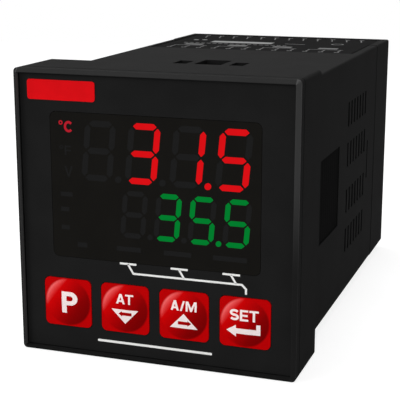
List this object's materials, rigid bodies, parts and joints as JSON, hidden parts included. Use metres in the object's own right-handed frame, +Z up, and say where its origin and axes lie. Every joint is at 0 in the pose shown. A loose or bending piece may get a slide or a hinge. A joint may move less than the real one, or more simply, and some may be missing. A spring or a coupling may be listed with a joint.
{
  "type": "panel-mount temperature controller",
  "caption": "Square panel-mount temperature controller: deep black case, dark display window, a row of domed red keys, side vents and rear screw terminals.",
  "frame": {"origin": "centre of the panel cut-out, in the plane where the bezel seats on the panel", "axes": "+X to the right as the user sees the front, +Y into the panel towards the terminals, +Z up; the front looks along -Y"},
  "size_m": [0.072, 0.1247, 0.072],
  "materials": {
    "housing_plastic": "fine spark texture, satin",
    "front_plate": "smooth satin film",
    "smoked_window": "gloss, dark smoked",
    "key_cap": "gloss, moulded red",
    "plunger_plastic": "satin",
    "switch_case": "satin",
    "circuit_board": "solder mask, satin",
    "screw_steel": "zinc plated",
    "display_case": "satin",
    "light_guide": "satin",
    "gasket_rubber": "dull",
    "label_film": "printed film, satin",
    "rear_plastic": "fine spark texture, satin",
    "terminal_plastic": "satin",
    "contact_brass": "tin plated brass",
    "header_plastic": "satin",
    "core_steel": "varnished sheets",
    "winding_tape": "tape",
    "relay_case": "satin",
    "capacitor_sleeve": "shrink sleeve",
    "chip_case": "moulded, dull"
  },
  "bodies": {
    "case": {"bezel": "housing_plastic", "housing": "housing_plastic", "front_overlay": "front_plate", "display_window": "smoked_window", "tact_switches": "switch_case", "display_board": "circuit_board", "board_screws": "screw_steel", "process_display": "display_case", "setpoint_display": "display_case", "status_light_guide": "light_guide", "panel_gasket": "gasket_rubber", "wiring_label": "label_film", "rear_panel": "rear_plastic", "upper_terminals": "terminal_plastic", "lower_terminals": "terminal_plastic", "terminal_contacts": "contact_brass", "terminal_screws": "screw_steel", "terminal_board": "circuit_board", "cpu_board": "circuit_board", "power_board": "circuit_board", "front_left_header": "header_plastic", "front_right_header": "header_plastic", "rear_left_header": "header_plastic", "rear_right_header": "header_plastic", "transformer_core": "core_steel", "transformer_winding": "winding_tape", "output_relay_1": "relay_case", "output_relay_2": "relay_case", "output_relay_3": "relay_case", "mains_capacitor": "capacitor_sleeve", "output_capacitor_1": "capacitor_sleeve", "output_capacitor_2": "capacitor_sleeve", "processor_chip": "chip_case"},
    "button_p": {"key_p": "key_cap", "plunger_p": "plunger_plastic"},
    "button_at": {"key_at": "key_cap", "plunger_at": "plunger_plastic"},
    "button_am": {"key_am": "key_cap", "plunger_am": "plunger_plastic"},
    "button_set": {"key_set": "key_cap", "plunger_set": "plunger_plastic"}
  },
  "joints": [
    {"name": "press_p", "type": "slide", "parent": "case", "child": "button_p", "axis": [0, 1, 0], "range_m": [0, 0.0005], "stiffness_N_per_m": 2000, "springref_m": -0.0003},
    {"name": "press_at", "type": "slide", "parent": "case", "child": "button_at", "axis": [0, 1, 0], "range_m": [0, 0.0005], "stiffness_N_per_m": 2000, "springref_m": -0.0003},
    {"name": "press_am", "type": "slide", "parent": "case", "child": "button_am", "axis": [0, 1, 0], "range_m": [0, 0.0005], "stiffness_N_per_m": 2000, "springref_m": -0.0003},
    {"name": "press_set", "type": "slide", "parent": "case", "child": "button_set", "axis": [0, 1, 0], "range_m": [0, 0.0005], "stiffness_N_per_m": 2000, "springref_m": -0.0003}
  ]
}
